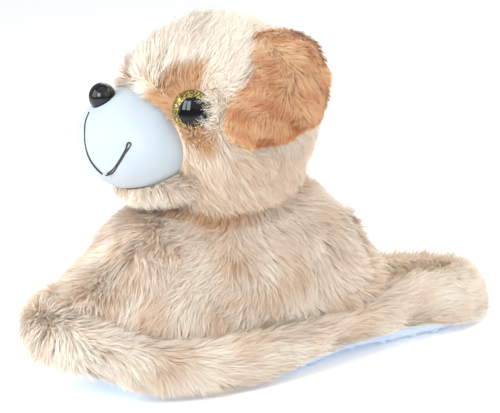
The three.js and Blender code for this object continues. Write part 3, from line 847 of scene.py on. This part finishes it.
def upper_coat(points, normals):
    x, y, z = points.T
    nap = np.stack([
        0.35 * np.sign(x) * np.ones_like(x),
        -0.75 + 1.25 * smooth(-70, 50, y),
        -1.0 + 0.55 * smooth(84, 94, z),
    ], axis=1)
    crest = smooth(78, 92, z)[:, None]
    nap = nap * (1 - 0.6 * crest) + unit(points - NECK) * crest
    swirl = ripple(points, 24, 21)[:, None]
    nap = nap + np.cross(normals, nap) * swirl * 0.55
    length = np.full(len(x), UPPER_PILE)
    lift = 30 + 6 * ripple(points, 18, 22)
    to_head = np.linalg.norm((points - HEAD) / HEAD_RADII, axis=1)
    tone = 0.26 + 0.14 * ripple(points, 12, 23)
    # Painted shade: darker pile round the foot of the head, deepest at the front where shadow falls under the
    # chin.
    tone += (1 - smooth(1.03, 1.2, to_head)) * (0.46 - 0.34 * smooth(-46, -12, y))
    return nap, length, lift, np.clip(tone, 0, 1)


def lining_coat(points, normals):
    nap = np.stack([ripple(points, 8, 31), ripple(points, 8, 32), -0.6 + 0 * points[:, 0]], axis=1)
    tone = 0.45 + 0.2 * ripple(points, 12, 33)
    return nap, np.full(len(points), LINING_PILE), np.full(len(points), 62.0), tone


def make_upper():
    skin = softened(NODES["upper"], voxel=2.2, rounds=8)
    outer = outer_side(skin.points, skin.normals)
    shoulder = smooth(78, 90, skin.points[:, 2]) * smooth(0, 20, skin.points[:, 1])
    skin.sink((PILE_DEPTH + 0.5 + 2.0 * smooth(36, 48, skin.points[:, 1]) - 3.0 * shoulder) * outer)
    skin.relax(3)
    place("upper", mesh_of("upper", skin.points, skin.faces), CREAM_BACKING, ["upper"])
    dress("upper", skin, upper_keep, upper_coat, (41, 45))

    def inside(points, normals):
        return (1 - smooth(0.0, 0.2, outer_side(points, normals))) * (points[:, 2] < 85)

    lining = grow("upper_lining", skin, UPPER_LINING, inside, lining_coat, 43, width=0.8, tuft=5, pull=0.3)
    place("upper_lining", lining, SHORT_PILE)


# Side band

# Middle line of the band's form, from the toe's end to the heel's
SPINE = (-72, 92)


def outward_of(points):
    """Level direction out of the sole at each point."""
    spine = np.zeros_like(points)
    spine[:, 1] = np.clip(points[:, 1], *SPINE)
    away = points - spine
    away[:, 2] = 0
    return unit(away)


# How far the band reaches from the shoe's middle line, and from its ends round toe and heel
REACH_AT = (-134, -110, -72, -48, -12, 29, 67, 92, 130)
REACH = (58, 60, 64, 69, 65.7, 53.7, 41.9, 39.9, 37.5)


def band_outer(points, normals):
    """1 on the outside and top of the band, 0 on the side that faces the foot."""
    outward = (outward_of(points) * normals).sum(axis=1)
    return smooth(-0.55, -0.2, outward + 0.35 * np.maximum(normals[:, 2], 0))


# How low the pile hangs along the shoe, where it leaves the sole's edge in sight
HEM_AT = (-60, -30, -10, 20, 45, 60, 75, 90, 120)
HEM_HEIGHT = (0.5, 3.0, 9.0, 9.5, 9.0, 9.5, 8.0, 4.5, 1.5)


def hem(points):
    return np.interp(points[:, 1], HEM_AT, HEM_HEIGHT)


def band_keep(points, normals):
    return band_outer(points, normals) * (points[:, 2] > hem(points) + 0.5)


def band_coat(points, normals):
    out = outward_of(points)
    y = points[:, 1]
    down = 0.75 - 0.7 * smooth(-45, 0, y)
    nap = np.array((0, 1.0, 0)) - np.array((0, 0, 1.0)) * down[:, None] + out * 0.15
    nap[:, 0] += 0.2 * (1 - smooth(-115, -85, y))
    swirl = ripple(points, 20, 51)[:, None]
    nap = nap + np.cross(normals, nap) * swirl * 0.45
    length = BAND_PILE - 2.0 * smooth(30, 70, y)
    lift = 30 + 6 * ripple(points, 15, 52) - 9 * smooth(80, 115, y)
    tone = 0.2 + 0.12 * ripple(points, 13, 53) - 0.1 * smooth(40, 90, y) - 0.15 * (1 - smooth(-110, -80, y))
    return nap, length, lift, np.clip(tone, 0, 1)


def make_band():
    skin = softened(NODES["side_band"], voxel=2.0, rounds=8)
    outer = band_outer(skin.points, skin.normals)
    y = skin.points[:, 1]
    sunk = PILE_DEPTH - 4.0 * (1 - smooth(-124, -98, y)) + 1.5 * smooth(70, 115, y)
    skin.sink(sunk * outer)
    spine = np.stack([0 * y, np.clip(skin.points[:, 1], *SPINE)], axis=1)
    away = skin.points[:, :2] - spine
    reach = np.linalg.norm(away, axis=1)
    limit = np.interp(skin.points[:, 1], REACH_AT, REACH) - sunk
    skin.points[:, :2] = spine + away * np.minimum(1, limit / np.maximum(reach, 1))[:, None]
    skin.relax(4)
    place("side_band", mesh_of("side_band", skin.points, skin.faces), CREAM_BACKING,
          ["side_band"])
    dress("side_band", skin, band_keep, band_coat, (61, 65), floor=hem)

    def inside(points, normals):
        return (1 - band_outer(points, normals)) * (points[:, 1] > 40) * (points[:, 2] > 14)

    def inside_coat(points, normals):
        nap = np.array((0, 0.8, -0.5)) + 0.3 * ripple(points, 8, 31)[:, None]
        tone = 0.42 * (1 - smooth(24, 35, points[:, 2]))
        return nap, np.full(len(points), HEEL_PILE), np.full(len(points), 48.0), tone

    lining = grow("heel_lining", skin, HEEL_LINING, inside, inside_coat, 63, width=0.5, tuft=5, pull=0.2)
    place("heel_lining", lining, SHORT_PILE)


# Ears

# Ear from its top to its tip, in head radii from the middle of the head: out, back, up and half width
EAR = np.array((
    (0.6, 0.42, 0.8, 0.17), (0.72, 0.51, 0.7, 0.28), (0.86, 0.48, 0.56, 0.33), (0.97, 0.385, 0.4, 0.41),
    (1.06, 0.29, 0.22, 0.49), (1.12, 0.2, 0.06, 0.47), (1.16, 0.1, -0.06, 0.34), (1.18, 0.01, -0.14, 0.16),
))
EAR_ROWS, EAR_AROUND = 26, 40
EAR_SPREAD, EAR_FORWARD, EAR_THICK = 1.8, 1.2, 4.0


def ear_shape():
    """Even rows of the left ear: middles, ways across, out and down, and half widths in mm."""
    radius = HEAD_RADII[2]
    known = np.linspace(0, 1, len(EAR))
    fine = np.linspace(0, 1, EAR_ROWS)
    rows = np.stack([np.interp(fine, known, EAR[:, k]) for k in range(4)], axis=1)
    for _ in range(3):
        rows[1:-1] = (rows[:-2] + 2 * rows[1:-1] + rows[2:]) / 4
    middles = HEAD + rows[:, :3] * radius - (0, EAR_FORWARD, 0)
    down = unit(np.gradient(middles, axis=0))
    across = np.tile((0.0, -1.0, 0.0), (len(middles), 1))
    return middles, across, unit(np.cross(across, down)), down, rows[:, 3] * radius + EAR_SPREAD


EAR_SHAPE = ear_shape()
EAR_OUTLINE = np.concatenate([
    (EAR_SHAPE[0] + EAR_SHAPE[1] * EAR_SHAPE[4][:, None])[:, 1:],
    (EAR_SHAPE[0] - EAR_SHAPE[1] * EAR_SHAPE[4][:, None])[::-1, 1:],
])


def ear_place(points):
    """How far down the left ear each point is, 0 to 1, how far across, -1 to 1, and the way out."""
    middles, across, _, _, halves = EAR_SHAPE
    row = ((points[:, None] - middles[None]) ** 2).sum(axis=2).argmin(axis=1)
    aside = ((points - middles[row]) * across[row]).sum(axis=1) / halves[row]
    return row / (EAR_ROWS - 1), aside, EAR_SHAPE[2][row]


def ear_coat(points, normals):
    down, aside, out = ear_place(points)
    facing = (out * normals).sum(axis=1)
    depth = depth_in(points[:, 1:], EAR_OUTLINE)
    edge = 1 - smooth(0.5, 8, depth)
    nap = np.zeros_like(points) + (0.1, -0.3, -1.0)
    swirl = ripple(points, 12, 71)[:, None]
    nap = nap + np.cross(normals, nap) * swirl * 1.1
    lining = (1 - smooth(-0.6, -0.2, facing)) * smooth(0.2, 0.35, down)
    rim = (1 - smooth(2, 5, depth)) * smooth(0.3, 0.5, down) * smooth(0, 0.5, 2 * (down - 0.75) - aside)
    tone = 0.36 + 0.2 * ripple(points, 6, 73) + 0.12 * smooth(0.35, 0.7, down)
    tone += 0.42 * np.maximum(lining, rim) - 0.25 * (1 - smooth(0, 0.1, down))
    length = EAR_PILE - 3.6 * edge - 1.5 * lining
    lift = 36 - 12 * edge + 6 * ripple(points, 7, 74)
    return nap, length, lift, np.clip(tone, 0, 1)


def ear_skin():
    """The left flap under the pile: a thin padded leaf bent round the head, with its faces turned in."""
    middles, across, out, _, halves = EAR_SHAPE
    points, faces = [], []
    for at, side_way, face, half in zip(middles, across, out, halves):
        for k in range(EAR_AROUND):
            turn = math.tau * k / EAR_AROUND
            aside = math.cos(turn) * half
            thick = math.copysign(abs(math.sin(turn)) ** 0.8, math.sin(turn)) * EAR_THICK / 2
            points.append(at + side_way * aside + face * (thick - aside ** 2 / (EAR_BEND * HEAD_RADII[2])))
    for i in range(EAR_ROWS - 1):
        for k in range(EAR_AROUND):
            faces += strip(i * EAR_AROUND, 1, EAR_AROUND, k)
    top, tip = len(points), len(points) + 1
    last = (EAR_ROWS - 1) * EAR_AROUND
    points += [middles[0] - 3 * EAR_SHAPE[3][0], middles[-1] + 4 * EAR_SHAPE[3][-1]]
    for k in range(EAR_AROUND):
        following = (k + 1) % EAR_AROUND
        faces += [(top, following, k), (tip, last + k, last + following)]
    skin = Skin(points, faces)
    skin.relax(2)
    return skin


def make_ears():
    leaf = ear_skin()
    left = Skin(leaf.points, leaf.faces[:, ::-1])
    right = Skin(leaf.points * (-1, 1, 1), leaf.faces)
    for name, form, seed, side in (("ear_left", left, 81, 1), ("ear_right", right, 83, -1)):
        place(name, mesh_of(name, form.points, form.faces), TAN_BACKING, [name])

        def coat(points, normals):
            nap, length, lift, tone = ear_coat(points * (side, 1, 1), normals * (side, 1, 1))
            return nap * (side, 1, 1), length, lift, tone

        def keep(points, normals):
            down, _, out = ear_place(points * (side, 1, 1))
            facing = (out * normals * (side, 1, 1)).sum(axis=1)
            inner = 0.35 * smooth(0.25, 0.4, down)
            return inner + (1 - inner) * smooth(-0.6, -0.2, facing)

        def lean(points):
            return ear_place(points * (side, 1, 1))[2] * (side, 1, 1) * 0.9

        pile = grow(f"{name}_pile", form, EAR_STRANDS, keep, coat, seed, lean=lean)
        place(f"{name}_pile", pile, TAN_PILE)


# Sole and footbed

def make_insole():
    skin = softened(NODES["insole"], voxel=3.0, rounds=2)
    place("insole", mesh_of("insole", skin.points, skin.faces), LINING_BACKING, ["insole"])

    def top(points, normals):
        return (normals[:, 2] > 0.6) * 1.0

    def coat(points, normals):
        nap, length, lift, tone = lining_coat(points, normals)
        nap[:, 1] -= 0.8
        return nap, length * 0.9, lift, tone

    pile = grow("insole_pile", skin, FOOTBED, top, coat, 91, width=0.85, tuft=5, pull=0.3)
    place("insole_pile", pile, SHORT_PILE)


DOT_RADIUS, DOT_HEIGHT, DOT_PITCH = 2.5, 1.3, 7.6
DOT_ROW = DOT_PITCH * 0.866
DOT_SIDES = 10

# Rings of a dot from its foot to its top, in shares of its radius and height
DOT_RINGS = ((1.0, -0.3), (0.98, 0.45), (0.86, 0.85), (0.55, 0.98))


def make_outsole():
    skin = softened(NODES["outsole"], voxel=2.4, rounds=3)
    under = smooth(0.3, 0.8, -skin.normals[:, 2])
    skin.points[:, 2] += DOT_HEIGHT * under
    skin.find_normals()
    place("outsole", mesh_of("outsole", skin.points, skin.faces), SOLE_CLOTH, ["outsole"])
    tree = skin.tree()
    around = DOT_SIDES
    points, faces = [], []
    for row in range(int(SOLE_LENGTH / DOT_ROW) + 2):
        y = -SOLE_LENGTH / 2 + row * DOT_ROW
        for column in range(-9, 10):
            x = (column + 0.5 * (row % 2)) * DOT_PITCH
            hit, normal, _, _ = tree.ray_cast(Vector((x, y, -50)), Vector((0, 0, 1)))
            if hit is None or normal.z > -0.9:
                continue
            out, centre = np.array(normal), np.array(hit)
            across = unit(np.cross((0, 1, 0), out))
            along = np.cross(out, across)
            start = len(points)
            for share, height in DOT_RINGS:
                for k in range(around):
                    turn = math.tau * k / around
                    ring = across * math.cos(turn) + along * math.sin(turn)
                    points.append(centre + ring * DOT_RADIUS * share + out * DOT_HEIGHT * height)
            points.append(centre + out * DOT_HEIGHT)
            for k in range(around):
                faces += strip(start, len(DOT_RINGS) - 1, around, k)
                end = start + (len(DOT_RINGS) - 1) * around
                faces.append((end + k, end + (k + 1) % around, end + around))
    dots = mesh_of("sole_dots", np.array(points), np.array(faces))
    place("sole_dots", dots, SOLE_CLOTH)


# Floor and light

FLOOR_REACH = 4000.0


def make_floor():
    corners = FLOOR_REACH * np.array([(-1, -1, 0), (1, -1, 0), (1, 1, 0), (-1, 1, 0)])
    sheet = mesh_of("floor", corners, np.array([(0, 1, 2), (0, 2, 3)]))
    floor = bpy.data.objects.new("floor", sheet)
    bpy.context.scene.collection.objects.link(floor)
    sheet.materials.append(floor_material())


# What the lights face, in metres
LIT_MIDDLE = Vector((0, 0, 0.09))
SKY_TURN, SKY_RAISE, SKY_SPREAD, SKY_STRENGTH = 74, 56, 85, 1.0
DAYLIGHT, PLAIN = (0.82, 0.92, 1.0), (1, 1, 1)

# Soft boxes: turn and raise in degrees, distance, width and height in metres, watts and colour
SOFT_BOXES = {
    "window": (22, 27, 1.0, 0.17, 0.44, 3.2, DAYLIGHT),
    "window_pane": (36, 27, 1.0, 0.17, 0.44, 3.2, DAYLIGHT),
    "front": (-10, 26, 1.2, 0.8, 0.8, 6.5, PLAIN),
    "side": (110, 30, 1.2, 0.8, 0.8, 2.2, PLAIN),
    "back": (165, 38, 1.2, 0.8, 0.8, 5.5, PLAIN),
    "rear": (235, 35, 1.2, 0.8, 0.8, 4.5, PLAIN),
}


def set_light():
    world = bpy.data.worlds.new("soft studio")
    bpy.context.scene.world = world
    world.use_nodes = True
    world.node_tree.nodes["Background"].inputs["Color"].default_value = (0.5, 0.51, 0.525, 1)
    sky = bpy.data.lights.new("overhead sky", "SUN")
    sky.energy, sky.angle = SKY_STRENGTH, math.radians(SKY_SPREAD)
    lamp = bpy.data.objects.new("overhead sky", sky)
    bpy.context.scene.collection.objects.link(lamp)
    lamp.rotation_euler = (-Vector(toward(SKY_TURN, SKY_RAISE))).to_track_quat("-Z", "Y").to_euler()
    for name, (turn, raised, distance, width, height, watts, colour) in SOFT_BOXES.items():
        light = bpy.data.lights.new(name, "AREA")
        light.shape = "RECTANGLE"
        light.size, light.size_y = width, height
        light.energy, light.color = watts, colour
        lamp = bpy.data.objects.new(name, light)
        bpy.context.scene.collection.objects.link(lamp)
        way = Vector(toward(turn, raised))
        lamp.location = LIT_MIDDLE + way * distance
        lamp.rotation_euler = (-way).to_track_quat("-Z", "Y").to_euler()
    bpy.context.scene.view_settings.view_transform = "Standard"


# The slipper

make_outsole()
make_insole()
make_band()
make_upper()
make_head()
make_muzzle()
make_nose()
for eye, eye_way in zip(("eye_left", "eye_right"), EYE_WAYS):
    make_eye(eye, eye_way)
thread("mouth_line", MOUTH_LINE)
SMILE = SMILE_OUT + SMILE_BACK[1:]
thread("smile_left", SMILE)
thread("smile_right", [(2 * SMILE_MIDDLE - turn, raised) for turn, raised in SMILE])
make_ears()
make_floor()
set_light()
